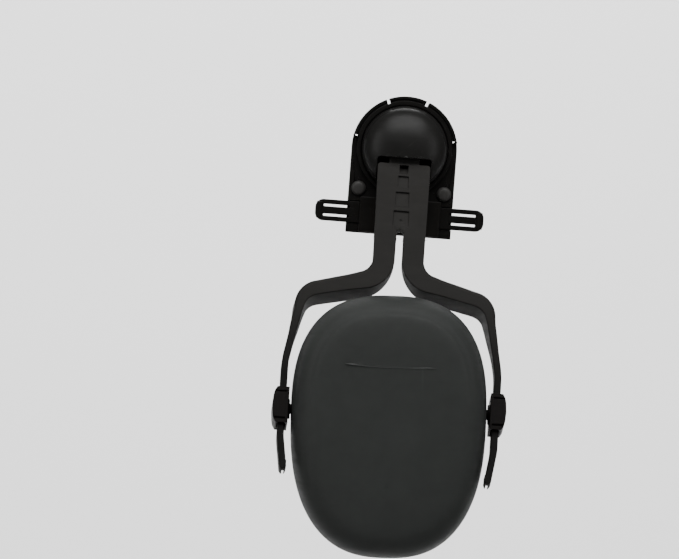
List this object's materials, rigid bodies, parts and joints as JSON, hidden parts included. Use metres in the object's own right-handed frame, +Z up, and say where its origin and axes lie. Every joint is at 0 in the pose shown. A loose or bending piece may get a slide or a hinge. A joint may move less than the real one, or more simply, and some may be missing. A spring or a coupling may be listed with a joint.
{
  "type": "helmet-mounted earmuff",
  "caption": "Helmet-mounted earmuff, one side: arched slot bracket with swivel cap, notched fork arm, sliding clips and a dark grey ear cup with its cushion",
  "frame": {"origin": "on the swivel axis, on the bracket's flat back face, which lies against the helmet", "axes": "+X to the helmet's rear, +Y to the head, normal to the bracket's back face, +Z up along the bracket"},
  "size_m": [0.0998, 0.0672, 0.1982],
  "materials": {
    "bracket_black": "fine moulded grain, satin black nylon",
    "cap_charcoal": "smooth satin moulding",
    "arm_charcoal": "smooth satin moulding",
    "clip_black": "satin moulding",
    "rivet_grey": "satin moulded push rivet",
    "spring_steel": "bright drawn wire",
    "cup_grey": "fine spark-eroded grain",
    "cushion_skin": "soft grained vinyl skin, black",
    "cushion_plate": "plain moulding",
    "foam": "open-cell foam",
    "liner_cloth": "thin non-woven cloth"
  },
  "bodies": {
    "bracket": {"bracket_back": "bracket_black", "bracket_front": "bracket_black", "front_rivet": "rivet_grey", "rear_rivet": "rivet_grey", "wave_washer": "spring_steel"},
    "bar": {"accessory_bar": "bracket_black"},
    "swivel": {"swivel_turntable": "bracket_black", "pivot_cap": "cap_charcoal", "front_hinge_pin": "spring_steel", "rear_hinge_pin": "spring_steel", "front_torsion_spring": "spring_steel", "rear_torsion_spring": "spring_steel"},
    "carrier": {"arm_carrier": "bracket_black", "detent_leaf": "spring_steel"},
    "arm": {"fork_arm": "arm_charcoal"},
    "front_slider": {"front_clip": "clip_black"},
    "rear_slider": {"rear_clip": "clip_black"},
    "cup": {"cup_shell": "cup_grey", "front_cup_socket": "clip_black", "rear_cup_socket": "clip_black", "foam_liner": "foam", "liner_cloth": "liner_cloth", "cushion_plate": "cushion_plate", "cushion_foam": "foam", "cushion_cover": "cushion_skin"}
  },
  "joints": [
    {"name": "bar_slide", "type": "slide", "parent": "bracket", "child": "bar", "axis": [1, 0, 0], "range_m": [-0.006, 0.006]},
    {"name": "head_swivel", "type": "hinge", "parent": "bracket", "child": "swivel", "pos_m": [0, 0, 0], "axis": [0, -1, 0], "range_deg": [-30, 110]},
    {"name": "arm_swing", "type": "hinge", "parent": "swivel", "child": "carrier", "pos_m": [0, -0.0118, 0], "axis": [-1, 0, 0], "range_deg": [-16, 15]},
    {"name": "stem_slide", "type": "slide", "parent": "carrier", "child": "arm", "axis": [0, -0.309, -0.9511], "range_m": [0, 0.012]},
    {"name": "front_clip_slide", "type": "slide", "parent": "arm", "child": "front_slider", "axis": [0, -0.309, -0.9511], "range_m": [0, 0.007]},
    {"name": "rear_clip_slide", "type": "slide", "parent": "arm", "child": "rear_slider", "axis": [0, -0.309, -0.9511], "range_m": [0, 0.007]},
    {"name": "cup_tilt", "type": "hinge", "parent": "front_slider", "child": "cup", "pos_m": [0, -0.046, -0.113], "axis": [0.999, 0, 0.0454], "range_deg": [-12, 12]}
  ],
  "couplings": [
    {"joint": "rear_clip_slide", "follows": "front_clip_slide", "ratio": 1}
  ]
}
